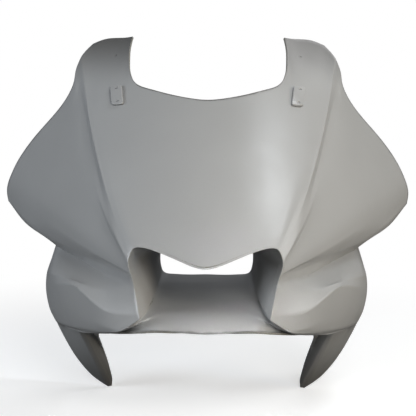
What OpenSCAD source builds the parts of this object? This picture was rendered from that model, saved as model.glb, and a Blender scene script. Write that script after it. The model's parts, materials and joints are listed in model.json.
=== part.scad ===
// Upper nose fairing of a sports motorcycle, one glass-fibre moulding.
// Millimetres. X across, Y back along the machine, Z up. The nose points to -Y.
// The origin is the centre of the air duct's flat rear rim.

/* [Overall size] */
// Width over the wings
overall_w = 616; // [584:4:648]
// Length from the nose to the wing tips
overall_d = 414; // [390:2:438]
// Height from the leg tips to the ear tops
overall_h = 526; // [500:2:552]
// Thickness of the laminate
wall = 2.6; // [2.2:0.1:3]

/* [Air duct] */
// Width inside the duct's rear rim
duct_w = 134; // [126:2:142]
// Height inside the duct's rear rim
duct_h = 64; // [60:1:68]
// Corner radius inside the rear rim
duct_r = 14; // [10:1:18]

/* [Nose panel] */
// How much the nose panel bends back at the sides, per square millimetre
crown = 0.0026; // [0.0024:0.0001:0.0028]
// How far the hollow outside each side crease lies behind a flat panel
hollow_depth = 12; // [8:1:16]
// How far the tops of the ears curl back
ear_curl = 8; // [4:1:10]
// How much the wings bulge
wing_bulge = 7; // [4:1:10]

/* [Mounting pads] */
// Width of the pads at the root of the ears
pad_w = 19; // [16:1:22]
// Height of the pads
pad_h = 27; // [24:1:30]
// How far the pads stand out of the panel
pad_raise = 1.2; // [0.8:0.1:1.6]

/* [Output] */
// Node to show

/* [Hidden] */
$fn = 48;

// The guide points below are for a fairing of this size, and are scaled to the size asked for.
guide_size = [616, 414, 526];
fit = [overall_w / guide_size.x, overall_d / guide_size.y, overall_h / guide_size.z];
function fitted(p) = [p.x * fit.x, p.y * fit.y, p.z * fit.z];

// Curves
// Slope of a curve at b between its neighbours a and c, none where the corner is fully sharp
function slope(a, b, c, sharp) =
    let (p = max(norm(b - a), 0.01), q = max(norm(c - b), 0.01))
    (1 - sharp) * ((b - a) * q / p + (c - b) * p / q) / (p + q);

// A point at t on the curve from a to b with those slopes
function between(a, b, slope_a, slope_b, t) =
    let (d = norm(b - a), t2 = t * t, t3 = t2 * t)
    a * (2 * t3 - 3 * t2 + 1) + b * (3 * t2 - 2 * t3)
    + d * (slope_a * (t3 - 2 * t2 + t) + slope_b * (t3 - t2));

// Slopes along an open list of points
function slopes(pts, sharp) =
    let (n = len(pts) - 1)
    [for (i = [0:n])
        i == 0 ? slope(2 * pts[0] - pts[1], pts[0], pts[1], 0)
        : i == n ? slope(pts[n - 1], pts[n], 2 * pts[n] - pts[n - 1], 0)
        : slope(pts[i - 1], pts[i], pts[i + 1], sharp[i])];

// The point at u on a curve through pts, where u counts the points
function along(pts, u, sharp = [for (i = [0:9]) 0]) =
    let (i = min(floor(u), len(pts) - 2), m = slopes(pts, sharp))
    between(pts[i], pts[i + 1], m[i], m[i + 1], u - i);

function mirrored(p) = [-p.x, p.y, p.z];

// Air intake, right half, from the top centre down to the bottom centre
// Inside of the rear rim
rim_x = duct_w / 2 / fit.x;
rim_z = duct_h / 2 / fit.z;
rim_bend = duct_r * 0.3;
rim = [
    [0, 0, rim_z], [rim_x * 0.2, 0, rim_z], [rim_x * 0.72, 0, rim_z], [rim_x - rim_bend, 0, rim_z - rim_bend],
    [rim_x, 0, rim_z - duct_r], [rim_x, 0, 0], [rim_x, 0, duct_r - rim_z],
    [rim_x - rim_bend, 0, rim_bend - rim_z], [rim_x * 0.6, 0, -rim_z], [0, 0, -rim_z]];
// Throat, just behind the lip
throat = [
    [0, -284, 28], [12, -281, 31], [70, -250, 46], [83, -243, 46], [91, -243, 31], [84, -250, 2],
    [75, -256, -20], [73, -256, -32], [46, -222, -33], [0, -215, -33]];
// Crest of the lip: a V over the top, full sides, and a floor that runs out over the chin
lip = [
    [0, -300, 25], [12, -297, 28], [76, -266, 47], [90, -261, 46], [97, -262, 32], [91, -268, 5],
    [86, -276, -16], [81, -284, -40], [54, -264, -37], [0, -258, -36]];
lip_sharp = [0, 0.3, 0.7, 0, 0, 0, 0, 0.7, 0, 0];
function lip_at(u) = along(lip, u, lip_sharp);

// Ribs of the panel
// Each rib runs from the lip to the outline, through six stations at these shares of its length.
station = [0, 0.1, 0.32, 0.52, 0.64, 1];

// Depth of the nose panel: it leans back as it rises and is crowned from side to side
function panel_y(x, z) = let (h = z - 25) -300 + 0.9 * h + 0.00065 * h * h + crown * x * x;

// Every rib is [place along the lip, columns up to the next rib, sharpness at the lip and at the outline, points].
// A rib of the nose panel to a point of the outline, bowed sideways and curled back at its end
function nose_rib(u, columns, x, z, bow = 0, sharp = [0, 0], curl = 0) =
    let (a = lip_at(u))
    [u, columns, sharp, [for (t = station)
        let (px = a.x + (x - a.x) * t + bow * 4 * t * (1 - t), pz = a.z + (z - a.z) * t)
        [px, panel_y(px, pz) + (a.y - panel_y(a.x, a.z)) * pow(1 - t, 3) + (t == 1 ? curl : 0), pz]]];

// A rib of the wing to a point of its edge, bent by a vector at the middle
function wing_rib(u, columns, p, bend, sharp = [0, 0]) =
    let (a = lip_at(u))
    [u, columns, sharp, [for (t = station) a + (p - a) * t + bend * 4 * t * (1 - t)]];

// A rib through points of its own
function free_rib(u, columns, pts, sharp = [0, 0]) = [u, columns, sharp, concat([lip_at(u)], pts)];

deep = hollow_depth - 12;
ribs = [
    // Nose panel, up to the screen's cut-out
    nose_rib(0, 3, 0, 225),
    nose_rib(1.4, 3, 36, 229),
    nose_rib(1.8, 2, 78, 238),
    nose_rib(2.1, 2, 97, 243),
    nose_rib(2.5, 2, 107, 252, 3),
    // Ear
    nose_rib(2.8, 2, 114, 277, 13),
    nose_rib(3.1, 2, 111, 310, 36, [0, 0.7], ear_curl * 0.5),
    nose_rib(3.35, 2, 147, 312, 26, [0, 0], ear_curl),
    nose_rib(3.65, 2, 171, 301, 18, [0, 0], ear_curl),
    nose_rib(3.9, 1, 187, 281, 10, [0.2, 0.9]),
    // Wing, from the hollow beside the crease round to the tip
    free_rib(4.05, 1, [[112, -236, 50], [137, -166 + deep * 0.3, 101], [158, -93 + deep * 0.6, 155],
        [175, -24 + deep, 205], [197, 54, 260]], [0, 0.6]),
    free_rib(4.15, 1, [[113, -233, 47], [143, -160, 97], [169, -77 + deep * 0.3, 152], [186, -12 + deep * 0.5, 198],
        [194, 36, 243]]),
    wing_rib(4.25, 1, [213, 46, 210], [6, -8, 0]),
    wing_rib(4.35, 2, [246, 66, 176], [2, -wing_bulge, 0]),
    wing_rib(4.45, 2, [281, 90, 134], [0, -wing_bulge, 0]),
    wing_rib(4.55, 2, [301, 104, 98], [0, -wing_bulge, -2]),
    wing_rib(4.65, 1, [308, 112, 74], [0, -wing_bulge * 0.8, -6]),
    // Fold under the wing, and the channel below it
    free_rib(4.75, 1, [[112, -224, 15], [185, -92, 18], [240, 5, 23], [268, 46, 33], [305, 111, 60]], [0.7, 0.9]),
    free_rib(4.85, 1, [[113, -216, 8], [186, -76, 11], [230, 8, 15], [248, 44, 21], [277, 106, 35]]),
    free_rib(4.98, 1, [[113, -222, 1], [184, -66, 2], [213, 2, 3], [221, 34, 2], [229, 84, -2]], [0.3, 0]),
    // Shelf edge, lower ridge and face of the cheek
    free_rib(5.35, 2, [[119, -240, -10], [177, -164, -9], [206, -108, -15], [222, -60, -21], [240, 84, -36]],
        [1, 0.2]),
    free_rib(6.6, 2, [[116, -250, -41], [176, -167, -17], [208, -106, -30], [224, -58, -38], [243, 84, -56]],
        [1, 0.2]),
    free_rib(6.75, 1, [[112, -256, -50], [170, -174, -46], [206, -104, -52], [223, -54, -58], [243, 82, -80]]),
    free_rib(6.84, 1, [[109, -259, -55], [162, -181, -64], [203, -98, -72], [221, -46, -78], [237, 79, -101]]),
    // Leg, behind the turned-under edge of the cheek
    free_rib(6.92, 1, [[107, -262, -58], [156, -183, -75], [202, -80, -91], [217, -20, -99], [228, 77, -122]]),
    free_rib(6.98, 1, [[105, -264, -59], [152, -184, -78], [199, -64, -97], [209, 8, -110], [214, 72, -148]]),
    free_rib(7.04, 1, [[103, -266, -60], [148, -186, -80], [190, -90, -95], [200, -6, -110], [197, 66, -175]]),
    free_rib(7.09, 1, [[101, -267, -60], [145, -189, -80], [182, -110, -92], [191, -20, -110], [173, 56, -200]]),
    free_rib(7.14, 1, [[100, -268, -60], [142, -192, -80], [175, -126, -91], [184, -30, -110], [148, 47, -213]],
        [0, 1]),
    free_rib(7.19, 1, [[98, -270, -60], [139, -195, -79], [168, -140, -89], [178, -30, -109], [142, 47, -212]],
        [0, 0.6]),
    free_rib(7.24, 1, [[97, -271, -60], [136, -199, -78], [161, -152, -87], [173, -20, -110], [141, 48, -201]]),
    free_rib(7.3, 1, [[95, -273, -59], [133, -204, -77], [153, -165, -84], [168, -6, -113], [148, 44, -170]]),
    free_rib(7.36, 1, [[92, -275, -58], [128, -210, -75], [144, -179, -82], [156, -80, -99], [159, 22, -130]],
        [0, 0.2]),
    free_rib(7.44, 1, [[89, -277, -55], [121, -222, -71], [133, -196, -77], [142, -152, -85], [150, -92, -97]]),
    free_rib(7.54, 1, [[84, -280, -50], [97, -266, -58], [104, -254, -62], [109, -244, -65], [116, -229, -69]]),
    // Chin
    free_rib(7.7, 2, [[66, -276, -41], [73, -281, -46], [78, -281, -50], [81, -279, -54], [85, -275, -58]]),
    free_rib(8.1, 2, [[51, -268, -39], [53, -277, -43], [55, -283, -47], [56, -286, -50], [58, -287, -54]]),
    free_rib(8.55, 2, [[26, -264, -38], [27, -274, -42], [28, -282, -47], [28, -286, -51], [29, -288, -56]]),
    free_rib(9, 0, [[0, -263, -37], [0, -274, -41], [0, -283, -47], [0, -287, -51], [0, -290, -57]])];

// Skin
// Rows from the duct's rim to the outline: steps from each point of a rib to the next
row_steps = [4, 2, 2, 4, 4, 3, 5];
rows = concat([for (k = [0:len(row_steps) - 1]) for (i = [0:row_steps[k] - 1]) [k, i / row_steps[k]]],
    [[len(row_steps) - 1, 1]]);
first_row = row_steps[0] + row_steps[1];
last_row = len(rows) - 1;
last_rib = len(ribs) - 1;

// How sharp a rib bends at each of its points: the lip is the third, and softens along the chin
function bends(u) =
    let (crest = u < 7.6 ? 0.8 : max(0, 0.8 - (u - 7.6) * 1.6)) [0, crest * 0.8, crest, u > 6.9 ? 0.6 : 0, 0, 0, 0, 0];

rib_curve = [for (rib = ribs)
    let (p = concat([along(rim, rib[0]), along(throat, rib[0], lip_sharp)], rib[3]), m = slopes(p, bends(rib[0])))
    [for (r = rows) between(p[r[0]], p[r[0] + 1], m[r[0]], m[r[0] + 1], r[1])]];

// Sharpness across a rib at a row
function crossing(j, r) =
    let (t = max(0, (r - first_row) / (last_row - first_row)), sharp = ribs[j][2])
    r < first_row ? 0 : sharp[0] * (1 - t) + sharp[1] * t;

rib_slope = [for (j = [0:last_rib]) [for (r = [0:last_row])
    slope(j == 0 ? mirrored(rib_curve[1][r]) : rib_curve[j - 1][r], rib_curve[j][r],
        j == last_rib ? mirrored(rib_curve[j - 1][r]) : rib_curve[j + 1][r], crossing(j, r))]];

half = concat(
    [for (j = [0:last_rib - 1]) for (i = [0:ribs[j][1] - 1])
        [for (r = [0:last_row])
            fitted(between(rib_curve[j][r], rib_curve[j + 1][r], rib_slope[j][r], rib_slope[j + 1][r],
                i / ribs[j][1]))]],
    [[for (r = [0:last_row]) fitted(rib_curve[last_rib][r])]]);
last_col = len(half) - 1;
skin = concat(half, [for (c = [last_col - 1:-1:1]) [for (p = half[c]) mirrored(p)]]);
cols = len(skin);

// Outward direction at a point of the skin. The rear rim stays in its own plane.
function outward(c, r) =
    let (across = skin[(c + 1) % cols][r] - skin[(c + cols - 1) % cols][r],
        down = skin[c][min(r + 1, last_row)] - skin[c][max(r - 1, 0)],
        n = cross(across, down), flat = r == 0 ? [n.x, 0, n.z] : n)
    flat / norm(flat);

inner = [for (c = [0:cols - 1]) [for (r = [0:last_row]) skin[c][r] - wall * outward(c, r)]];

// Two triangles of a grid cell, split along its shorter diagonal
function cell(a, b, c, d, pts) =
    norm(pts[a] - pts[c]) <= norm(pts[b] - pts[d]) ? [[c, b, a], [d, c, a]] : [[d, b, a], [d, c, b]];

module shell() {
    size = last_row + 1;
    pts = concat([for (c = skin) for (p = c) p], [for (c = inner) for (p = c) p]);
    back = cols * size;
    faces = [for (c = [0:cols - 1])
        let (a = c * size, b = ((c + 1) % cols) * size)
        each concat(
            [for (r = [0:last_row - 1]) each cell(a + r, b + r, b + r + 1, a + r + 1, pts)],
            [for (r = [0:last_row - 1])
                each cell(back + a + r, back + a + r + 1, back + b + r + 1, back + b + r, pts)],
            cell(a, back + a, back + b, b, pts),
            cell(a + last_row, b + last_row, back + b + last_row, back + a + last_row, pts))];
    polyhedron(pts, faces, convexity = 10);
}

// Mounting pads, each on a crossing of the skin's columns and rows
pad_col = 13;
pad_row = 20;
pad_at = skin[pad_col][pad_row];
pad_out = outward(pad_col, pad_row);
pad_up = let (t = [0, pad_out.z, -pad_out.y]) t / norm(t);
pad_side = cross(pad_up, pad_out);

module rounded_plate(w, h, r, depth) {
    translate([-w / 2 + r, -h / 2, 0]) cube([w - 2 * r, h, depth]);
    translate([-w / 2, -h / 2 + r, 0]) cube([w, h - 2 * r, depth]);
    for (x = [r - w / 2, w / 2 - r], y = [r - h / 2, h / 2 - r]) translate([x, y, 0]) cylinder(h = depth, r = r);
}

module pad() {
    sunk = wall / 2;
    multmatrix([
        [pad_side.x, pad_up.x, pad_out.x, pad_at.x],
        [pad_side.y, pad_up.y, pad_out.y, pad_at.y],
        [pad_side.z, pad_up.z, pad_out.z, pad_at.z]])
        translate([0, 0, -sunk]) rounded_plate(pad_w, pad_h, 4, sunk + pad_raise);
}

module fairing() {
    color([0.6, 0.61, 0.6]) {
        shell();
        pad();
        mirror([1, 0, 0]) pad();
    }
}

fairing();
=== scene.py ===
# %% [markdown]
# # A nose fairing in grey primer
#
# The object is the front fairing of a sports motorcycle: one glass-fibre moulding about 2.6 mm
# thick, sprayed with a satin grey primer outside and left raw inside. It has an air duct in the
# middle, a screen cut-out between two ears, two swept wings, two cheeks and two low legs.
#
# The packed CAD model holds its true shape in flat facets. This lesson dresses that shape: it
# turns the facets into a smooth skin, gives the skin a laminate wall, sets two raised pads on it,
# and then works on the paint, the raw side and the light. Every length is in metres.

# %% Load the packed model
import json
import math
import bpy
import bmesh
from mathutils import Matrix, Quaternion, Vector
from mathutils.bvhtree import BVHTree


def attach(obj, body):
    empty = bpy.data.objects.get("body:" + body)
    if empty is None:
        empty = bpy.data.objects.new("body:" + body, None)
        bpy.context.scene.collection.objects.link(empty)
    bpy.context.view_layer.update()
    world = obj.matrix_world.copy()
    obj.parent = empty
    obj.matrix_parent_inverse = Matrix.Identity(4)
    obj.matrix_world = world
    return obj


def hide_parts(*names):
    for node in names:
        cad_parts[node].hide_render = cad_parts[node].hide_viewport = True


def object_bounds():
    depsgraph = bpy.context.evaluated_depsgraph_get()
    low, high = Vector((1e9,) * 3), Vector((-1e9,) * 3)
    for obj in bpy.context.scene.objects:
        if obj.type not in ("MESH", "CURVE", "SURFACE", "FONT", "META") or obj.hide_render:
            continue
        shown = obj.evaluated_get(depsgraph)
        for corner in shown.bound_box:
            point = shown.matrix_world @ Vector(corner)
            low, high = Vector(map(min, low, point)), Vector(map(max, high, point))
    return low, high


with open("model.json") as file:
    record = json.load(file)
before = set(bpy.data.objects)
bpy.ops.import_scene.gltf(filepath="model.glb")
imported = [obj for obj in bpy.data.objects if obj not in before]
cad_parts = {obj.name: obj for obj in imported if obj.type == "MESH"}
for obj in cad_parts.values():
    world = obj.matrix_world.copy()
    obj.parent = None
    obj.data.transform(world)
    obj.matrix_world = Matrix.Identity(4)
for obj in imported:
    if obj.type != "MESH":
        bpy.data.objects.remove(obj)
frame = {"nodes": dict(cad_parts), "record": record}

def box_lists():
    low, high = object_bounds()
    return [list(low), list(high)]

cad_box = box_lists()
print("CAD box in metres:", [[round(v, 4) for v in corner] for corner in cad_box])

# %% [markdown]
# ## From facets to a skin
#
# The CAD solid is a closed shell of triangles: an outer skin, an inner skin, and a narrow strip
# round each cut edge. Subdividing all of it would round the cut edges and make the wall uneven.
# It is better to keep the outer skin alone, pair its triangles into the four-sided cells that
# the CAD loft had, and let modifiers round the cells and build the wall again.
#
# The node's own mesh is loose triangles and is left alone, so a copy is merged here. The layers
# are made before anything else, because a new layer makes every older reference to a corner or
# an edge invalid.

# %% Copy the node's mesh and merge it
wall = 0.0026
touching = 2e-6

skin = bmesh.new()
skin.from_mesh(frame["nodes"]["fairing"].data)
side = skin.faces.layers.int.new("side")
ring = skin.verts.layers.int.new("ring")
column = skin.verts.layers.int.new("column")
crease = skin.edges.layers.float.new("crease_edge")
corner = skin.verts.layers.float.new("crease_vert")
trim = skin.verts.layers.float.new("trim")
bmesh.ops.remove_doubles(skin, verts=skin.verts, dist=touching)
print("merged:", len(skin.verts), "corners,", len(skin.faces), "triangles")

# %% [markdown]
# ## Telling the two skins apart
#
# A strip round a cut edge is crossed by rungs exactly as long as the wall is thick, and the strip
# round the duct's rear rim lies flat at y = 0. A flood fill that starts at the tip of the nose
# and stops at those narrow faces finds the outer skin, without any list of face numbers.

# %% Flood from face to face
def flood(found, allowed):
    waiting = list(found)
    while waiting:
        for edge in waiting.pop().edges:
            for face in edge.link_faces:
                if face not in found and allowed(face):
                    found.add(face)
                    waiting.append(face)
    return found

rungs = [e for e in skin.edges if abs(e.calc_length() - wall) < touching]
narrow = {f for e in rungs for f in e.link_faces}
narrow |= {f for f in skin.faces if all(abs(v.co.y) < touching for v in f.verts)}
print("rungs as long as the wall is thick:", len(rungs))

# %% Mark the outer skin, the inner skin and the strips
OUTER, INNER, STRIP = 1, 0, 2

nose_tip = min((f for f in skin.faces if f not in narrow), key=lambda f: f.calc_center_median().y)
outer = flood({nose_tip}, lambda f: f not in narrow)
beside = {f for o in outer for e in o.edges for f in e.link_faces if f not in outer}
strip = flood(beside, lambda f: f in narrow)
for face in skin.faces:
    face[side] = STRIP if face in strip else OUTER if face in outer else INNER
print("outer skin:", len(outer), "triangles of", len(skin.faces))

# %% [markdown]
# ## Rings and columns
#
# Each skin is a grid: rings run round it from the cut outline to the duct's rear rim, and columns
# cross them. Knowing a corner's ring and column is like knowing its place on a pattern sheet,
# and lets later steps name a spot such as "the mouth's lower corner".
#
# The rings come from counting steps away from the outline. The duct's rear rim is an open edge
# too, and is left out of the start because it lies so near the origin. Between two rings lies a
# closed belt of triangles. Walking round it from the middle of the nose crosses a column's edge
# and a cell's diagonal in turn.

# %% Count the rings of one skin from its outline
duct_half_width, duct_half_height = 0.08, 0.04

def count_rings(value):
    edges = {e for f in skin.faces if f[side] == value for e in f.edges}
    level = {v for e in edges if sum(f[side] == value for f in e.link_faces) == 1
             for v in e.verts
             if abs(v.co.x) > duct_half_width or abs(v.co.z) > duct_half_height}
    depth, count = {}, 0
    while level:
        depth.update(dict.fromkeys(level, count))
        near = {e.other_vert(v) for v in level for e in v.link_edges if e in edges}
        level = near - depth.keys()
        count += 1
    return edges, depth

print("inner rings:", max(count_rings(INNER)[1].values()) + 1)

# %% Walk round the belt between two rings
def walk_belt(value, edges, depth, belt):
    def across(edge):
        return edge in edges and {depth[v] for v in edge.verts} == {belt, belt + 1}
    middle = (e for e in edges if across(e) and all(abs(v.co.x) < touching for v in e.verts))
    start = edge = max(middle, key=lambda e: e.verts[0].co.z)
    face = max((f for f in start.link_faces if f[side] == value),
               key=lambda f: f.calc_center_median().x)
    crossed = []
    while not crossed or edge != start:
        crossed.append(edge)
        edge = next(e for e in face.edges if e != edge and across(e))
        face = next(f for f in edge.link_faces if f != face and f[side] == value)
    return crossed

print("edges in the outermost inner belt:", len(walk_belt(INNER, *count_rings(INNER), 0)))

# %% Number a skin's corners and list its diagonals
def number_grid(value):
    edges, depth = count_rings(value)
    diagonals = []
    for belt in range(max(depth.values())):
        crossed = walk_belt(value, edges, depth, belt)
        diagonals += crossed[1::2]
        for number, edge in enumerate(crossed[::2]):
            for vert in edge.verts:
                vert[column], vert[ring] = number, depth[vert]
    return max(depth.values()), len(crossed) // 2, diagonals

last_row, columns_round, inner_diagonals = number_grid(INNER)
print("inner grid:", last_row + 1, "rings of", columns_round, "columns")

# %% [markdown]
# ## The panel under the pads
#
# Each ear has a small raised pad at its root, where a stay is screwed on. In the CAD solid the
# pads are cut into the outer skin, which breaks its grid. The inner skin is whole there, so its
# cells are copied, pushed out by the wall's thickness and sewn into the hole. The alternative,
# remeshing, would lose the columns that the folds follow. The pads come back later as pieces of
# their own.

# %% The pads' places, from the packed mounts
pads = {}
for mount in frame["record"]["mounts"]:
    if mount["name"].startswith("stay_pad"):
        out = Vector(mount["axis"]).normalized()
        up = Vector((0, out.z, -out.y)).normalized()
        along = Vector((-out.y, out.x, 0)).normalized()
        pads[mount["name"]] = Matrix((along, up, out)).transposed(), Vector(mount["pos_m"])
print("pads:", sorted(pads))

# %% Sew clean cells in where the pads were
patch_radius, search_radius, stitch = 0.028, 0.06, 0.0012

inner_faces = [f for f in skin.faces if f[side] == INNER]
skin.verts.index_update()
tree = BVHTree.FromPolygons([v.co for v in skin.verts],
                            [[v.index for v in f.verts] for f in inner_faces])

def sew(centre):
    patch = dict.fromkeys(f for e in inner_diagonals for f in e.link_faces
                          if ((e.verts[0].co + e.verts[1].co) / 2 - centre).length < patch_radius)
    near = [f for f in skin.faces if f[side] == OUTER
            and (f.calc_center_median() - centre).length < search_radius]
    cut = [f for f in near if inner_faces[tree.find_nearest(f.calc_center_median())[2]] in patch]
    bmesh.ops.delete(skin, geom=cut, context="FACES_ONLY")
    rim = dict.fromkeys(v for f in skin.faces if f[side] == OUTER
                        for v in f.verts if (v.co - centre).length < search_radius)
    pushed = {v: v.co - v.normal * wall for f in patch for v in f.verts}
    made = bmesh.ops.duplicate(skin, geom=list(patch))
    for old, place in pushed.items():
        made["vert_map"][old].co = place
    fresh = [f for f in made["geom"] if isinstance(f, bmesh.types.BMFace)]
    bmesh.ops.reverse_faces(skin, faces=fresh)
    for face in fresh:
        face[side] = OUTER
    sewn = list(rim) + [made["vert_map"][v] for v in pushed]
    bmesh.ops.remove_doubles(skin, verts=sewn, dist=stitch)
    return len(cut), len(fresh)

for name, (turn, centre) in pads.items():
    print(name, "faces cut and sewn in:", sew(centre))

# %% Keep the outer skin alone, and pair its triangles
bmesh.ops.delete(skin, geom=[f for f in skin.faces if f[side] != OUTER], context="FACES")
bmesh.ops.delete(skin, geom=[e for e in skin.edges if not e.link_faces], context="EDGES")
bmesh.ops.delete(skin, geom=[v for v in skin.verts if not v.link_faces], context="VERTS")
last_row, columns_round, diagonals = number_grid(OUTER)
bmesh.ops.dissolve_edges(skin, edges=diagonals, use_verts=False)
print("cells:", len(skin.faces), "not four-sided:", sum(len(f.verts) != 4 for f in skin.faces))
print("open edges:", sum(e.is_boundary for e in skin.edges))

# %% [markdown]
# ## The mouth's lower corners
#
# On the real part, the lip of the mouth runs out at its lower corners, and cheek, duct floor and
# chin flow into one another. The loft packs a dozen columns into those few centimetres, so its
# facets pinch there. Moving corners one by one would take hours. Smoothing a named patch of the
# grid a few times relaxes them together, and the cells around it stay as they are.
#
# A spot is a column, counted from the middle of the nose and the same on both sides, and a row,
# counted from the duct's rear rim (0) past the lip (6) to the cut outline (24).

# %% Name a spot on the skin, and relax a patch of it
def spot(vert):
    return min(vert[column], columns_round - vert[column]), last_row - vert[ring]

def patch(columns, rows):
    return {v for v in skin.verts if columns[0] <= spot(v)[0] <= columns[1]
            and rows[0] <= spot(v)[1] <= rows[1]}

def relax(verts, times):
    for _ in range(times):
        bmesh.ops.smooth_vert(skin, verts=list(verts), factor=0.5,
                              use_axis_x=True, use_axis_y=True, use_axis_z=True)

mouth_corner = patch((42, 50), (3, 14))
floor_front = patch((51, 57), (3, 10))
relax(mouth_corner | patch((50, 54), (3, 23)), 10)
relax(floor_front, 5)
print("relaxed at the corners:", len(mouth_corner), "at the floor's front:", len(floor_front))

# %% [markdown]
# ## The chin
#
# The chin is the short band between the duct's floor and the lower outline. Where it meets the
# cheek it has to swell forward, or a dark valley opens between the two. Five columns on each
# side are drawn straight from lip to outline and pushed forward by half a sine wave, which starts
# and ends at nothing. A short relaxing then blends them with what lies around them.

# %% Swell the chin forward at its corners
lip_row = 6
swell = {50: 0.022, 51: 0.010, 52: 0.006, 53: 0.004, 54: 0.003}

at = {(v[column], v[ring]): v for v in skin.verts}
for (number, _), vert in at.items():
    place, row = spot(vert)
    if place in swell and lip_row < row < last_row:
        share = (row - lip_row) / (last_row - lip_row)
        vert.co = at[number, last_row - lip_row].co.lerp(at[number, 0].co, share)
        vert.co.y -= swell[place] * math.sin(math.pi * share)
relax(patch((46, 56), (5, 12)) | patch((50, 56), (5, 23)), 3)
print("chin columns drawn straight and swollen:", sorted(swell))

# %% [markdown]
# ## The ears
#
# The tops of the ears roll back towards the rider, and beside the screen they end in small horns.
# The roll is a power of the height, so it starts softly and grows towards the top. A horn is made
# by lowering the outline next to its tip by a few millimetres. The outer edge is drawn outwards a
# little. Both shifts fade out over the last three rows.

# %% Curl the tops of the ears back
curl_from, curl_height, curl_back = 0.225, 0.088, 0.027

for vert in skin.verts:
    high = max(0.0, (vert.co.z - curl_from) / curl_height)
    vert.co.y += curl_back * high ** 2.5
print("curled corners:", sum(v.co.z > curl_from for v in skin.verts))

# %% Draw out the horns and the outer edges
outward_and_up = {13: (0.003, -0.001), 14: (0.001, 0.001), 15: (0.0, -0.004),
                  16: (0.0, -0.003), 17: (0.0, -0.001), 18: (0.0025, -0.001),
                  19: (0.002, 0.0), 20: (0.0015, 0.0)}

for vert in patch((13, 20), (22, 24)):
    place, row = spot(vert)
    share = (row - 21) / 3
    vert.co.x += math.copysign(outward_and_up[place][0] * share, vert.co.x)
    vert.co.z += outward_and_up[place][1] * share
print("horn tips:", [tuple(round(n, 3) for n in v.co) for v in skin.verts if spot(v) == (14, 24)])

# %% [markdown]
# ## The cheek's upper facet
#
# Under each wing a channel runs back, and below it the cheek has a facet that looks up at the
# light. Pushing a few columns along their normals, some in and some out, deepens the channel and
# tilts the facet. The push fades in and out along the rows, so it leaves no step. A smaller
# push hollows the skin just outside the crease that runs down from each ear.

# %% Tilt the facet and hollow the crease's outer side
skin.normal_update()
facet = {32: -0.0010, 33: -0.0040, 34: -0.0080, 35: -0.0030, 36: 0.0030, 37: 0.0016}
hollow = {21: -0.0020, 22: -0.0014, 23: -0.0006}

push = {}
for vert in patch((32, 37), (7, 17)):
    place, row = spot(vert)
    push[vert] = vert.normal * facet[place] * min(1.0, (row - 6) / 3) * min(1.0, (18 - row) / 6)
for vert in patch((21, 23), (12, 22)):
    place, row = spot(vert)
    push[vert] = vert.normal * hollow[place] * min(1.0, (row - 11) / 4)
for vert, move in push.items():
    vert.co += move
skin.normal_update()
print("pushed corners:", len(push), "furthest:", round(max(m.length for m in push.values()), 4))

# %% [markdown]
# ## Crisp folds
#
# Subdivision rounds everything alike, but the real mould has folds that stay crisp: the side
# creases, the ridge of each cheek, the crest of each leg. Marking them by hand would take long,
# so an edge's crease grows with the angle between its two faces. The relaxed corners are left
# without. On the outline, a corner that turns sharply is kept sharp by a vertex crease, apart
# from the soft inner corner where an ear runs into its wing.

# %% Crease the folds
softest, crispest = 10, 35
relaxed = mouth_corner | patch((50, 56), (3, 23))

for edge in skin.edges:
    if len(edge.link_faces) == 2 and not all(v in relaxed for v in edge.verts):
        bend = math.degrees(edge.calc_face_angle())
        edge[crease] = min(1.0, max(0.0, (bend - softest) / (crispest - softest)))
print("creased edges:", sum(e[crease] > 0.02 for e in skin.edges))

# %% Keep the outline's corners sharp
sharp_turn, ear_meets_wing = 40, 22

for vert in skin.verts:
    ends = [e.other_vert(vert).co - vert.co for e in vert.link_edges if e.is_boundary]
    if len(ends) == 2 and spot(vert)[0] != ear_meets_wing:
        if 180 - math.degrees(ends[0].angle(ends[1])) > sharp_turn:
            vert[corner] = 1.0
print("sharp corners:", sorted({spot(v) for v in skin.verts if v[corner]}))

# %% [markdown]
# ## How near the cut edge is
#
# The primer is darkened in a ragged band along the cut edge, as painted shade. The paint needs to
# know how near the edge is, and a material can't measure that by itself. So each corner stores it
# in an attribute: 1 on the outline, falling to 0 at 40 mm along the skin. A piece without the
# attribute reads 0, which means that it is far from any edge.

# %% Store the nearness to the cut edge
trim_reach = 0.04

for (number, steps), vert in sorted(at.items(), key=lambda item: item[0][1]):
    if steps:
        before = at[number, steps - 1]
        vert[trim] = max(0.0, before[trim] - (vert.co - before.co).length / trim_reach)
    else:
        vert[trim] = 1.0
print("corners near the cut edge:", sum(v[trim] > 0 for v in skin.verts))

# %% [markdown]
# ## The laminate wall
#
# Three live modifiers finish the shell. Subdivision Surface rounds the cells, as the polished
# mould did. Solidify adds the inner skin and the cut edge, each with a material slot of its own,
# and keeps the wall even. A very small Bevel breaks the cut edge, as a sanding block does after
# trimming. Modelling the wall by hand would fix it too early: here it follows every later change.

# %% Make the shell a piece
for face in skin.faces:
    face.smooth = True
shell_mesh = bpy.data.meshes.new("fairing_shell")
skin.to_mesh(shell_mesh)
skin.free()
shell = bpy.data.objects.new("fairing_shell", shell_mesh)
bpy.context.scene.collection.objects.link(shell)
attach(shell, "root")
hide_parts("fairing")
print("shell cells:", len(shell_mesh.polygons))

# %% Round it, thicken it and break its edge
rounding = shell.modifiers.new("smooth", "SUBSURF")
rounding.levels = rounding.render_levels = 2

laminate = shell.modifiers.new("laminate", "SOLIDIFY")
laminate.thickness = wall
laminate.offset = -1
laminate.use_quality_normals = True
laminate.material_offset = 1
laminate.material_offset_rim = 2

broken_edge = shell.modifiers.new("broken_edge", "BEVEL")
broken_edge.width = 0.0004
broken_edge.segments = 2
broken_edge.limit_method = "ANGLE"
broken_edge.angle_limit = math.radians(65)
broken_edge.harden_normals = True
print("modifiers:", [m.name for m in shell.modifiers])

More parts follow.
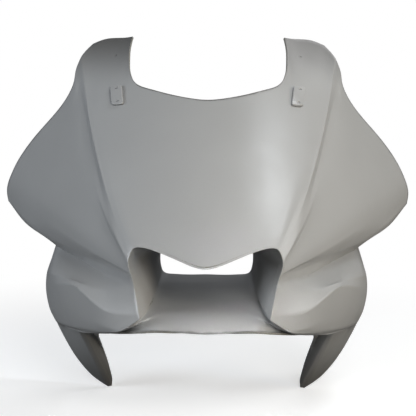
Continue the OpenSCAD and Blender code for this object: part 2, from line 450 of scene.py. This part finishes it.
# %% [markdown]
# ## Shader maths that reads as Python
#
# A finish is a sum of masks and noises. Built node by node, such a sum is hard to read. A small
# class wraps a socket, so that an expression on it adds its Math nodes by itself. The reflected
# operators are there so that 1 - mask works as well as mask - 1.

# %% A socket that does sums
class Wire:
    def __init__(self, tree, socket):
        self.tree, self.socket = tree, socket

    def math(self, operation, *values):
        node = self.tree.nodes.new("ShaderNodeMath")
        node.operation = operation
        for slot, value in zip(node.inputs, values):
            if isinstance(value, Wire):
                self.tree.links.new(value.socket, slot)
            else:
                slot.default_value = value
        return Wire(self.tree, node.outputs[0])

    def __add__(self, other): return self.math("ADD", self, other)
    def __radd__(self, other): return self.math("ADD", other, self)
    def __sub__(self, other): return self.math("SUBTRACT", self, other)
    def __rsub__(self, other): return self.math("SUBTRACT", other, self)
    def __mul__(self, other): return self.math("MULTIPLY", self, other)
    def __rmul__(self, other): return self.math("MULTIPLY", other, self)
    def larger(self, other): return self.math("MAXIMUM", self, other)
    def clamped(self): return self.math("MINIMUM", self.larger(0.0), 1.0)

print("sums on sockets:", "+ - *, larger and clamped")

# %% [markdown]
# Every other node comes from one method: its type, its settings, which are set first, and what
# its sockets hold. The rest of the class gives plain names to the few mixes that the finishes
# below share. Patterns sit on Object coordinates, so they stay put when a modifier adds faces.

# %% A finish: the node tree of a material or a world
class Finish:
    def __init__(self, owner):
        owner.use_nodes = True
        self.owner, self.tree = owner, owner.node_tree
        self.tree.nodes.clear()
        self.coordinates = self.node("ShaderNodeTexCoord").outputs
        self.place = self.coordinates["Object"]

    def node(self, kind, settings={}, sockets={}):
        made = self.tree.nodes.new(kind)
        for name, value in settings.items():
            setattr(made, name, value)
        for slot, value in sockets.items():
            source = value.socket if isinstance(value, Wire) else value
            if isinstance(source, bpy.types.NodeSocket):
                self.tree.links.new(source, made.inputs[slot])
            else:
                made.inputs[slot].default_value = source
        return made

    def wire(self, made, output=0):
        return Wire(self.tree, made.outputs[output])

    def noise(self, scale, detail=3.0, roughness=0.5, place=None):
        return self.wire(self.node("ShaderNodeTexNoise", {}, {
            "Vector": place or self.place, "Scale": scale, "Detail": detail,
            "Roughness": roughness}))

    def band(self, value, low, high):
        return self.wire(self.node("ShaderNodeMapRange", {"interpolation_type": "SMOOTHSTEP"}, {
            "Value": value, "From Min": low, "From Max": high}))

    def colours(self, share, first, second):
        first, second = ((*c, 1) if isinstance(c, tuple) else c for c in (first, second))
        return self.node("ShaderNodeMix", {"data_type": "RGBA"},
                         {0: share, 6: first, 7: second}).outputs[2]

    def bump(self, height, strength, distance, under=None):
        sockets = {"Height": height, "Strength": strength, "Distance": distance}
        if under:
            sockets["Normal"] = under
        return self.node("ShaderNodeBump", {}, sockets).outputs[0]

    def surface(self, shader, kind="ShaderNodeOutputMaterial"):
        self.node(kind, {}, {"Surface": shader.outputs[0]})
        return self.owner

    def solid(self, colour, roughness, normal):
        return self.surface(self.node("ShaderNodeBsdfPrincipled", {}, {
            "Base Color": colour, "Roughness": roughness, "Normal": normal}))

print("a finish has:", [name for name in vars(Finish) if not name.startswith("_")])

# %% [markdown]
# ## Where the drill marks are
#
# The maker has only started the holes: a mark in each ear and two on each stay pad. They are too
# small to be worth cells of their own, so the paint dents and darkens itself within a few
# millimetres of each point. On the real part the pads lean outwards at the top, a little above
# the mounts, and their marks lean with them.

# %% Seat the pads, and list the drill marks
lean_out, seat_up, pad_face = math.radians(8), 0.005, 0.0024

seats = {}
for name, (turn, centre) in pads.items():
    lean = Matrix.Rotation(-lean_out * math.copysign(1, centre.x), 3, "Z")
    seats[name] = turn @ lean, centre + turn @ Vector((0, seat_up, 0))

drill_marks = [Vector((x, 0.041, 0.284)) for x in (-0.135, 0.135)]
for turn, centre in seats.values():
    for step in (-0.0135, 0.0135):
        drill_marks.append(centre + turn @ Vector((0.001, step, pad_face)))
print("drill marks:", len(drill_marks))

# %% [markdown]
# ## Satin grey primer
#
# From afar sprayed primer is one even grey. Close up it has a faint orange peel, slight clouds
# where the coats overlap, and duller patches where it was rubbed down. Towards the tips of the
# ears and legs, and in a ragged band along the cut edge, the colour is darkened to a near-black
# grey: this is painted shade. Each of these is one noise or one mask. An image texture would
# give one fixed part, while masks follow the shape.

# %% Masks of the primer: painted shade at the edge and tips, and drill marks
# Near-black grey: the colour of the painted shade at the cut edge and the tips, and of the laminate
# bared in the drill marks.
shade_and_laminate_grey = (0.075, 0.072, 0.066)

# Painted shade: a ragged dark band along the cut outline, and darkening that grows towards the tops
# of the ears and the tips of the legs.
def painted_edge_and_tip_shade(paint):
    stored = paint.node("ShaderNodeAttribute", {"attribute_name": "trim"})
    from_cut = (1 - paint.wire(stored, "Fac")) * trim_reach
    ragged = from_cut + (paint.noise(90.0) - 0.5) * 0.004
    height = paint.wire(paint.node("ShaderNodeSeparateXYZ", {}, {0: paint.place}), "Z")
    # Painted shade: darkens the primer within a few millimetres of the cut outline.
    cut_line = (1 - paint.band(ragged, 0.0003, 0.0036)) * 0.8
    # Painted shade, darker towards the top of the ears and towards the bottom of the legs.
    ear_tips = paint.band(height, 0.235, 0.318) * 0.9
    leg_tips = paint.band(height * -1, 0.10, 0.215) * 0.85
    return cut_line.larger(ear_tips + leg_tips)

def drilled(paint):
    marks = []
    for point in drill_marks:
        away = paint.node("ShaderNodeVectorMath", {"operation": "DISTANCE"},
                          {0: paint.place, 1: point})
        marks.append(1 - paint.band(paint.wire(away, "Value"), 0.0008, 0.0026))
    return sum(marks[1:], marks[0])

# The grey printed here is the colour of the painted shade, shared with the drill marks.
print("the primer wears through to", shade_and_laminate_grey)

# %% The primer
def make_primer():
    paint = Finish(bpy.data.materials.new("grey_primer"))
    fine, peel = paint.noise(900.0, 2.0), paint.noise(260.0, 2.0)
    clouds = paint.band(paint.noise(5.0) * 0.7 + fine * 0.3, 0.3, 0.7)
    rubbed = paint.band(paint.noise(14.0, 4.0, 0.6), 0.45, 0.7)
    pits = drilled(paint)
    grey = paint.colours(clouds, (0.318, 0.320, 0.318), (0.350, 0.352, 0.350))
    # Mixes the painted shade at the edge and tips with the bared laminate of the drill marks.
    shade_and_bared = (painted_edge_and_tip_shade(paint) + pits * 0.35).clamped()
    orange_peel = paint.bump(peel * 0.7 + fine * 0.3, 0.12, 0.0003)
    return paint.solid(colour=paint.colours(shade_and_bared, grey, shade_and_laminate_grey),
                       roughness=0.30 + rubbed * 0.07 + fine * 0.04,
                       normal=paint.bump(1 - pits, 1.0, 0.0012, under=orange_peel))

primer = make_primer()
print(primer.name, "nodes:", len(primer.node_tree.nodes))

# %% [markdown]
# ## Raw laminate inside, and the cut edge
#
# The inside shows chopped-strand mat in its resin: short fibres in every direction under a
# slightly glossy, uneven coat. Three noises, stretched along three directions, cross like the
# strands. The cut edge shows the same laminate in section, as fine specks with little gloss.

# %% The raw side
def make_raw_side():
    mat = Finish(bpy.data.materials.new("raw_laminate"))
    layers = []
    for turn in (0.3, 1.25, 2.2):
        stretched = mat.node("ShaderNodeMapping", {}, {
            "Vector": mat.place, "Rotation": (turn, turn * 0.7, turn), "Scale": (900, 60, 60)})
        layers.append(mat.noise(1.0, 1.0, place=stretched.outputs[0]))
    strands = mat.band(layers[0].larger(layers[1]).larger(layers[2]), 0.52, 0.72)
    blots = mat.noise(30.0)
    resin = mat.colours(mat.band(blots, 0.3, 0.7), (0.17, 0.175, 0.155), (0.21, 0.21, 0.185))
    return mat.solid(colour=mat.colours(strands, resin, (0.3, 0.3, 0.27)),
                     roughness=0.5 - strands * 0.12,
                     normal=mat.bump(strands * 0.6 + blots * 0.6, 0.5, 0.0006))

raw_side = make_raw_side()
print(raw_side.name, "nodes:", len(raw_side.node_tree.nodes))

# %% The cut edge
def make_cut_edge():
    cut = Finish(bpy.data.materials.new("cut_edge"))
    plies = cut.noise(700.0, 2.0)
    specks = cut.band(plies, 0.3, 0.7)
    return cut.solid(colour=cut.colours(specks, (0.15, 0.145, 0.13), (0.24, 0.235, 0.21)),
                     roughness=0.6, normal=cut.bump(plies, 0.4, 0.0002))

for finish in (primer, raw_side, make_cut_edge()):
    shell_mesh.materials.append(finish)
print("shell materials:", [m.name for m in shell_mesh.materials])

# %% [markdown]
# ## The raised pads
#
# A pad is a low plate with soft corners that grows out of the panel, moulded in one with it. It
# is a block with two bevels: a wide one rounds its upright edges, and a narrow one softens the
# rim of its face. A pad raised from the shell's own cells would need cells far smaller than the
# panel has.
#
# The block's back doesn't reach the panel, which lies 0.4 to 1 mm below it. The gap can't be seen
# from the front, but it is a fault: a block 1.5 mm deeper, with its face left in place, would
# close it.

# %% Build the pads
pad_size, pad_lift = (0.0205, 0.039, 0.0034), 0.0007

def make_pad(name, turn, centre):
    block = bmesh.new()
    bmesh.ops.create_cube(block, size=1.0, matrix=Matrix.Diagonal((*pad_size, 1)))
    upright = [e for e in block.edges if abs(e.verts[0].co.z - e.verts[1].co.z) > 1e-4]
    bmesh.ops.bevel(block, geom=upright, offset=0.004, segments=5, profile=0.5,
                    affect="EDGES", material=-1)
    rim = list({e for f in block.faces if f.normal.z > 0.9 for e in f.edges})
    bmesh.ops.bevel(block, geom=rim, offset=0.0009, segments=3, profile=0.5,
                    affect="EDGES", material=-1)
    seat = Matrix.Translation(centre) @ turn.to_4x4() @ Matrix.Translation((0, 0, pad_lift))
    bmesh.ops.transform(block, matrix=seat, verts=block.verts)
    for face in block.faces:
        face.smooth = True
    mesh = bpy.data.meshes.new(name)
    block.to_mesh(mesh)
    block.free()
    mesh.materials.append(primer)
    piece = bpy.data.objects.new(name, mesh)
    bpy.context.scene.collection.objects.link(piece)
    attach(piece, "root")
    return piece

for name, (turn, centre) in seats.items():
    print(name, "faces:", len(make_pad(name, turn, centre).data.polygons))

# %% [markdown]
# ## The floor
#
# The part stands on the tips of its legs on a white floor. To the camera the floor is lit white
# near the part, so that a soft shadow shows, and fades to pure white further out, so that no
# horizon does. To every other ray it is a dull grey, because in the photograph hardly any light
# comes up from below. A Light Path node tells the two kinds of ray apart.

# %% The floor's finish
def make_floor_finish():
    white = Finish(bpy.data.materials.new("floor_white"))
    path = white.node("ShaderNodeLightPath").outputs["Is Camera Ray"]

    def glow(strength):
        return white.node("ShaderNodeEmission", {}, {"Color": (1, 1, 1, 1), "Strength": strength})

    def matt(grey):
        return white.node("ShaderNodeBsdfDiffuse", {}, {"Color": (grey, grey, grey, 1)})

    def either(share, first, second):
        return white.node("ShaderNodeMixShader", {}, {
            0: share, 1: first.outputs[0], 2: second.outputs[0]})

    away = white.node("ShaderNodeVectorMath", {"operation": "LENGTH"}, {0: white.place})
    far = white.band(white.wire(away, "Value"), 0.35, 1.1)
    near = white.node("ShaderNodeAddShader", {}, {
        0: matt(0.8).outputs[0], 1: glow(0.42).outputs[0]})
    return white.surface(either(path, matt(0.2), either(far, near, glow(1.0))))

floor_finish = make_floor_finish()
print(floor_finish.name, "nodes:", len(floor_finish.node_tree.nodes))

# %% The floor
under_the_legs = cad_box[0][2] - 0.0005

sheet = bmesh.new()
bmesh.ops.create_grid(sheet, x_segments=1, y_segments=1, size=30,
                      matrix=Matrix.Translation((0, 0, under_the_legs)))
floor_mesh = bpy.data.meshes.new("floor")
sheet.to_mesh(floor_mesh)
sheet.free()
floor_mesh.materials.append(floor_finish)
floor = bpy.data.objects.new("floor", floor_mesh)
bpy.context.scene.collection.objects.link(floor)
print("floor at", round(under_the_legs, 4))

# %% [markdown]
# ## The room
#
# The photograph is a cut-out on white, taken in a dim room. So the world is white to the camera
# alone, and dim and slightly cool to all other rays, a little brighter towards the back, which
# lights the raw side.

# %% The room
def make_room():
    room = Finish(bpy.data.worlds.new("studio"))
    towards = room.node("ShaderNodeSeparateXYZ", {}, {0: room.coordinates["Generated"]})
    glow = room.wire(towards, "Y").larger(0.0) * 0.16 + 0.05
    dim = room.node("ShaderNodeBackground", {}, {
        "Color": (0.9, 0.94, 1.0, 1), "Strength": glow})
    white = room.node("ShaderNodeBackground", {}, {"Color": (1, 1, 1, 1)})
    path = room.node("ShaderNodeLightPath").outputs["Is Camera Ray"]
    seen = room.node("ShaderNodeMixShader", {}, {0: path, 1: dim.outputs[0], 2: white.outputs[0]})
    return room.surface(seen, "ShaderNodeOutputWorld")

bpy.context.scene.world = make_room()
print("world:", bpy.context.scene.world.name)

# %% [markdown]
# ## The lamps
#
# The lamps are soft panels, placed by what the photograph shows on the paint. A large one in
# front lights the nose, and weaker ones from both sides model the wings, cooler on the left and
# warmer on the right. A small one high on the right draws the soft highlight down the nose. One
# behind shows the raw side, and a narrow beam reaches the front of the duct's floor.

# %% A soft panel that looks at a point
middle = Vector((0.03, -0.12, 0.08))

def panel_lamp(name, place, target, size, power, colour):
    data = bpy.data.lights.new(name, "AREA")
    data.shape = "RECTANGLE"
    data.size, data.size_y = size
    data.energy, data.color = power, colour
    lamp = bpy.data.objects.new(name, data)
    lamp.location = place
    lamp.rotation_euler = (Vector(target) - Vector(place)).to_track_quat("-Z", "Y").to_euler()
    bpy.context.scene.collection.objects.link(lamp)
    return data

def around(azimuth, height, distance=2.0):
    a, h = math.radians(azimuth), math.radians(height)
    return middle + distance * Vector((math.sin(a) * math.cos(h), -math.cos(a) * math.cos(h),
                                       math.sin(h)))

print("straight in front is", [round(n, 3) for n in around(0, 0)])

# %% Set the lamps up
panel_lamp("front", around(14, 20), middle, (0.9, 0.9), 31, (1.0, 1.0, 0.99))
panel_lamp("cool_left", around(-72, 14), middle, (0.9, 0.6), 17, (0.87, 0.93, 1.0))
panel_lamp("right", around(90, 20), middle, (0.9, 0.9), 9, (0.95, 0.98, 1.0))
panel_lamp("warm_right", around(58, 6), middle, (0.9, 0.6), 10, (1.0, 0.80, 0.50))
panel_lamp("soft_above", (0.95, -0.10, 1.79), (0.1, -0.15, 0.15), (0.30, 0.5), 9, (0.92, 0.96, 1.0))
panel_lamp("behind", around(155, 40), middle, (1.2, 0.9), 5, (1.0, 1.0, 1.0))
beam = panel_lamp("mouth", (0.40, -1.15, 0.95), (0.04, -0.27, -0.11), (0.15, 0.15), 0.045,
                  (0.96, 0.98, 1.0))
beam.spread = math.radians(12)

# %% [markdown]
# ## The camera
#
# The camera stands where the photographer did: straight in front, 1.9 m away and a little above.
# Its place was found by fitting points of the model to the same points in the picture. The
# picture is 416 pixels wide and its lens is worth 1321 of those pixels, which gives the focal
# length on Blender's sensor. The small roll matches a camera that was not quite level.

# %% The camera
half_picture, lens_pixels, sensor = 208, 1321, 36
eye, aim_at, roll = Vector((0.010, -1.898, 0.299)), Vector((0.0017, -0.060, 0.0725)), 0.41

view = bpy.data.cameras.new("photo_view")
view.sensor_width = sensor
view.lens = sensor / 2 / (half_picture / lens_pixels)
camera = bpy.data.objects.new("photo_view", view)
camera.location = eye
camera.rotation_mode = "QUATERNION"
facing = (aim_at - eye).to_track_quat("-Z", "Y")
camera.rotation_quaternion = facing @ Quaternion((0, 0, 1), math.radians(roll))
bpy.context.scene.collection.objects.link(camera)
bpy.context.scene.camera = camera
bpy.context.scene.view_settings.view_transform = "Standard"
print("focal length:", round(view.lens, 2), "mm")

# %% [markdown]
# ## The end
